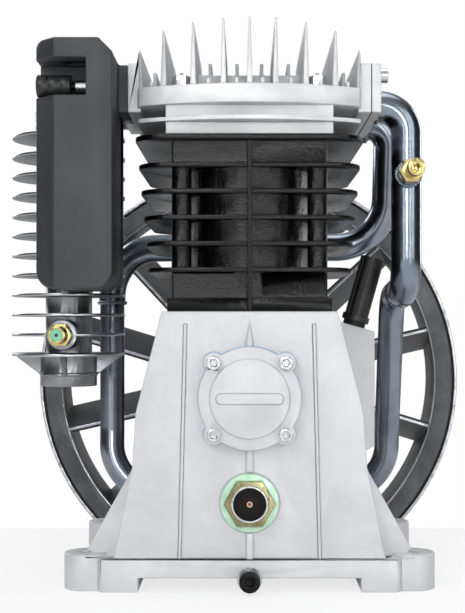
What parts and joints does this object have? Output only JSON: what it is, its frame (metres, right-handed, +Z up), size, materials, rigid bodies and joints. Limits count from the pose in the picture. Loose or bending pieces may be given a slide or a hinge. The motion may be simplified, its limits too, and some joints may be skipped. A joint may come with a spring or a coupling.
{
  "type": "air compressor pump head",
  "caption": "Belt driven piston compressor pump with finned block and head, intake filter, finned delivery cooler, looped intercooler tubes and a fan bladed flywheel.",
  "frame": {"origin": "centre of the four base bolts, on the plane of the feet", "axes": "+X along the base to the tube side, +Y along the crankshaft to the flywheel, +Z up"},
  "size_m": [0.4059, 0.387, 0.483],
  "materials": {
    "case_paint": "painted casting",
    "gasket_blue": "paper gasket",
    "fastener_steel": "zinc plated",
    "bearing_steel": "ground steel",
    "seal_rubber": "moulded rubber",
    "sight_green": "zinc, pale green",
    "sight_gold": "yellow passivated",
    "sight_dark": "dark window",
    "plug_black": "moulded",
    "gasket_grey": "fibre gasket",
    "block_iron": "gloss black enamel",
    "head_aluminium": "blasted casting",
    "reed_steel": "spring steel",
    "filter_plastic": "textured plastic",
    "filter_paper": "pleated paper",
    "cooler_aluminium": "satin casting",
    "valve_brass": "polished brass",
    "disc_green": "moulded",
    "tube_steel": "plated tube",
    "breather_plastic": "moulded",
    "crank_iron": "machined",
    "flywheel_iron": "painted casting, machined edges",
    "shaft_steel": "machined",
    "rod_aluminium": "forged",
    "ring_iron": "ground"
  },
  "bodies": {
    "housing": {"crankcase": "case_paint", "bearing_cover": "case_paint", "rear_carrier": "case_paint", "cover_gasket": "gasket_blue", "rear_carrier_gasket": "gasket_blue", "cover_screws": "fastener_steel", "rear_carrier_screws": "fastener_steel", "head_studs": "fastener_steel", "cooler_bolts": "fastener_steel", "tube_flange_bolts": "fastener_steel", "filter_nut": "fastener_steel", "drain_washer": "fastener_steel", "front_bearing_outer": "bearing_steel", "rear_bearing_outer": "bearing_steel", "shaft_seal": "seal_rubber", "breather_seal": "seal_rubber", "sight_flange": "sight_green", "sight_nut": "sight_gold", "sight_window": "sight_dark", "drain_plug": "plug_black", "filter_stud": "plug_black", "block_gasket": "gasket_grey", "head_gasket": "gasket_grey", "tube_flange_gasket": "gasket_grey", "cylinder_block": "block_iron", "cylinder_head": "head_aluminium", "valve_spacer": "head_aluminium", "valve_plate": "head_aluminium", "tube_flange": "head_aluminium", "valve_reeds": "reed_steel", "filter_body": "filter_plastic", "filter_cover": "filter_plastic", "filter_element": "filter_paper", "delivery_cooler": "cooler_aluminium", "relief_valve": "valve_brass", "safety_valve": "valve_brass", "relief_valve_disc": "disc_green", "front_tube": "tube_steel", "upper_tube": "tube_steel", "lower_loop": "tube_steel", "breather": "breather_plastic"},
    "crank": {"crankshaft": "crank_iron", "front_bearing_inner": "bearing_steel", "rear_bearing_inner": "bearing_steel", "flywheel": "flywheel_iron", "flywheel_key": "shaft_steel", "flywheel_washer": "shaft_steel", "flywheel_bolt": "shaft_steel"},
    "low_stage_rod_set": {"low_stage_rod": "rod_aluminium", "low_stage_rod_cap": "rod_aluminium", "low_stage_rod_bolts": "shaft_steel", "low_stage_gudgeon_pin": "shaft_steel"},
    "high_stage_rod_set": {"high_stage_rod": "rod_aluminium", "high_stage_rod_cap": "rod_aluminium", "high_stage_rod_bolts": "shaft_steel", "high_stage_gudgeon_pin": "shaft_steel"},
    "low_stage_piston_set": {"low_stage_piston": "rod_aluminium", "low_stage_rings": "ring_iron"},
    "high_stage_piston_set": {"high_stage_piston": "rod_aluminium", "high_stage_rings": "ring_iron"}
  },
  "joints": [
    {"name": "crank_turn", "type": "hinge", "parent": "housing", "child": "crank", "pos_m": [0, 0, 0.142], "axis": [0, 1, 0], "continuous": true},
    {"name": "low_stage_rod_pivot", "type": "hinge", "parent": "crank", "child": "low_stage_rod_set", "pos_m": [0, -0.0325, 0.157], "axis": [0, 1, 0], "continuous": true},
    {"name": "high_stage_rod_pivot", "type": "hinge", "parent": "crank", "child": "high_stage_rod_set", "pos_m": [0, 0.044, 0.127], "axis": [0, 1, 0], "continuous": true},
    {"name": "low_stage_piston_slide", "type": "slide", "parent": "housing", "child": "low_stage_piston_set", "axis": [0, 0, 1], "range_m": [-0.03, 0]},
    {"name": "high_stage_piston_slide", "type": "slide", "parent": "housing", "child": "high_stage_piston_set", "axis": [0, 0, 1], "range_m": [0, 0.03]}
  ],
  "couplings": [
    {"joint": "low_stage_rod_pivot", "follows": "crank_turn", "ratio": -1},
    {"joint": "high_stage_rod_pivot", "follows": "crank_turn", "ratio": -1}
  ]
}
